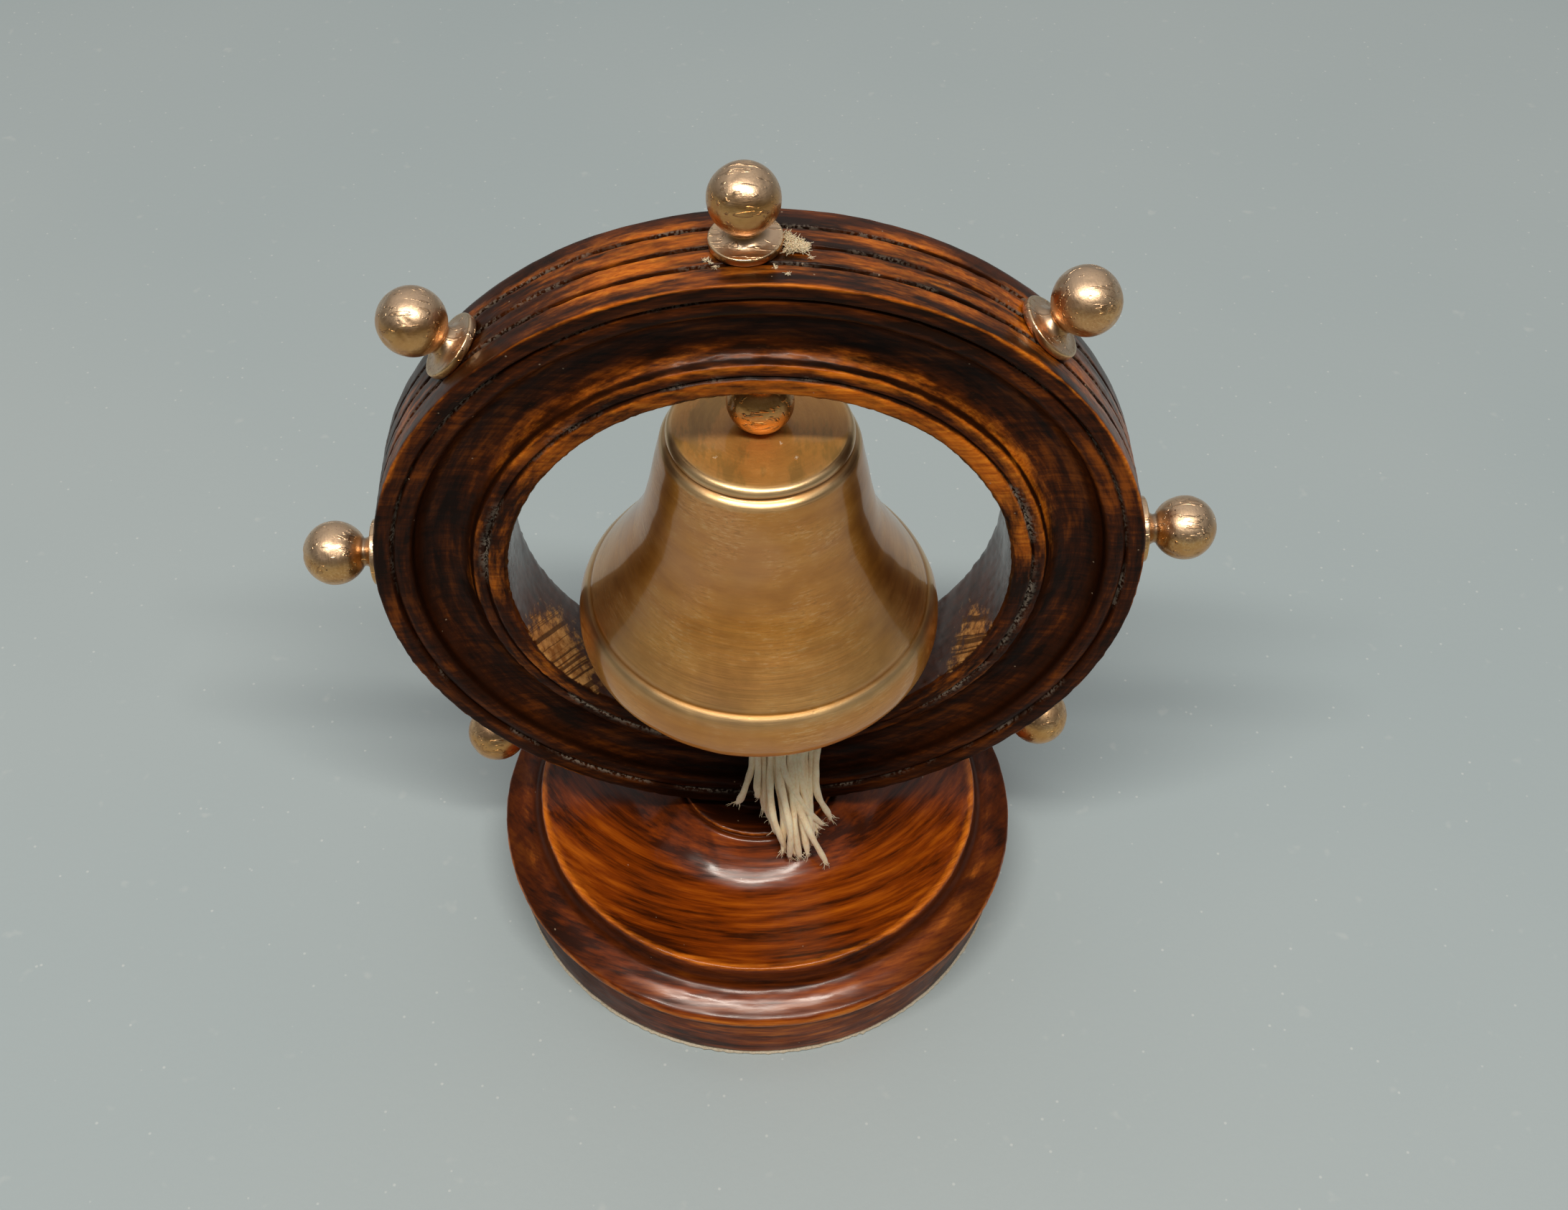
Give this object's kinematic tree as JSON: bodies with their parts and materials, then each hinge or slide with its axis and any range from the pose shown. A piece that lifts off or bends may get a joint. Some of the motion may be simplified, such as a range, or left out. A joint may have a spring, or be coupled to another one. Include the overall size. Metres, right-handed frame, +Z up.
{
  "type": "ship's wheel desk bell",
  "caption": "Brass desk bell hung inside a turned wooden ship's-wheel ring with brass ball knobs, on a round turned base, with a clapper on a cotton cord and a frayed tassel.",
  "frame": {"origin": "centre of the base's underside, on the table", "axes": "+Z up; the wheel lies in the XZ plane and its front faces -Y; +X is to the right seen from the front"},
  "size_m": [0.1818, 0.1164, 0.1982],
  "materials": {
    "stained_beech": "dark stained beech under glossy varnish, worn orange on the turned edges",
    "satin_brass": "satin antique brass with fine turning marks and small dents",
    "plain_brass": "plain machined brass, hidden hardware",
    "steel": "plain screw steel, hidden hardware",
    "cotton": "undyed cotton cord, unlaid into strands at its end",
    "felt": "cream felt"
  },
  "bodies": {
    "stand_and_bell": {"base_felt": "felt", "base_screw": "steel", "base_washer": "steel", "bell": "satin_brass", "cord_core": "cotton", "cord_tuft": "cotton", "crown_nut": "plain_brass", "crown_washer": "plain_brass", "hanger_knob": "satin_brass", "hanger_tube": "plain_brass", "knob_left": "satin_brass", "knob_lower_left": "satin_brass", "knob_lower_right": "satin_brass", "knob_right": "satin_brass", "knob_top": "satin_brass", "knob_upper_left": "satin_brass", "knob_upper_right": "satin_brass", "stud_left": "steel", "stud_lower_left": "steel", "stud_lower_right": "steel", "stud_right": "steel", "stud_top": "steel", "stud_upper_left": "steel", "stud_upper_right": "steel", "turned_base": "stained_beech", "wheel_ring": "stained_beech"},
    "cord_end": {"cord_neck": "cotton"},
    "clapper": {"cord_drop": "cotton", "clapper_ball": "plain_brass", "cord_knot": "cotton"},
    "tassel": {"tassel": "cotton"}
  },
  "joints": [
    {"name": "clapper_swivel", "type": "hinge", "parent": "stand_and_bell", "child": "cord_end", "pos_m": [0, 0, 0.1315], "axis": [0, 0, 1], "continuous": true},
    {"name": "clapper_swing", "type": "hinge", "parent": "cord_end", "child": "clapper", "pos_m": [0, 0, 0.128], "axis": [-1, 0, 0], "range_deg": [-35, 35]},
    {"name": "tassel_lift", "type": "hinge", "parent": "stand_and_bell", "child": "tassel", "pos_m": [0, 0, 0.0774], "axis": [-1, 0, 0], "range_deg": [0, 55]}
  ]
}
